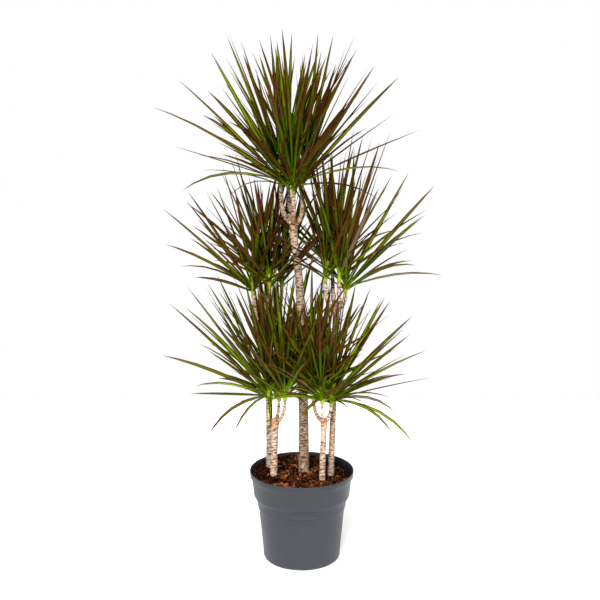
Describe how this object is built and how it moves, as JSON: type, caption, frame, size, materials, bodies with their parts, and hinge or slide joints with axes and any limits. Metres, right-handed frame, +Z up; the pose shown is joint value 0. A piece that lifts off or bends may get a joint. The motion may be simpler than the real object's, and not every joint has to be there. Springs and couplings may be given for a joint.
{
  "type": "potted madagascar dragon tree",
  "caption": "Potted dragon tree: bare ringed canes of three heights in a round nursery pot, each forked into heads of long, narrow sword leaves.",
  "frame": {"origin": "centre of the pot's flat underside", "axes": "+Z up along the pot's axis; -Y towards the side that the picture was taken from; +X to the right of that view"},
  "size_m": [0.8073, 0.7514, 1.551],
  "materials": {
    "pot": "satin moulded slate-grey plastic",
    "soil": "coarse, matt, moist peat and bark",
    "bark": "dry pale bark with leaf-scar rings",
    "young_bark": "smooth young orange-brown bark with close leaf scars",
    "leaf": "thin glossy blades, green with burgundy margins"
  },
  "bodies": {
    "root": {"pot": "pot", "soil": "soil", "cane_tall": "bark", "cane_mid_left": "bark", "cane_mid_right": "bark", "cane_low_left": "bark", "cane_low_right": "bark", "bough_tall_left": "young_bark", "bough_tall_back": "young_bark", "bough_tall_front": "young_bark", "bough_tall_right": "young_bark", "bough_mid_left_left": "young_bark", "bough_mid_left_front": "young_bark", "bough_mid_left_right": "young_bark", "bough_mid_left_back": "young_bark", "bough_mid_right_left": "young_bark", "bough_mid_right_back": "young_bark", "bough_mid_right_middle": "young_bark", "bough_mid_right_right": "young_bark", "bough_low_left_left": "young_bark", "bough_low_left_middle": "young_bark", "bough_low_left_right": "young_bark", "bough_low_right_left": "young_bark", "bough_low_right_front": "young_bark", "bough_low_right_right": "young_bark", "leaves_tall_left": "leaf", "leaves_tall_back": "leaf", "leaves_tall_front": "leaf", "leaves_tall_right": "leaf", "leaves_mid_left_left": "leaf", "leaves_mid_left_front": "leaf", "leaves_mid_left_right": "leaf", "leaves_mid_left_back": "leaf", "leaves_mid_right_left": "leaf", "leaves_mid_right_back": "leaf", "leaves_mid_right_middle": "leaf", "leaves_mid_right_right": "leaf", "leaves_low_left_left": "leaf", "leaves_low_left_middle": "leaf", "leaves_low_left_right": "leaf", "leaves_low_right_left": "leaf", "leaves_low_right_front": "leaf", "leaves_low_right_right": "leaf"}
  },
  "joints": []
}
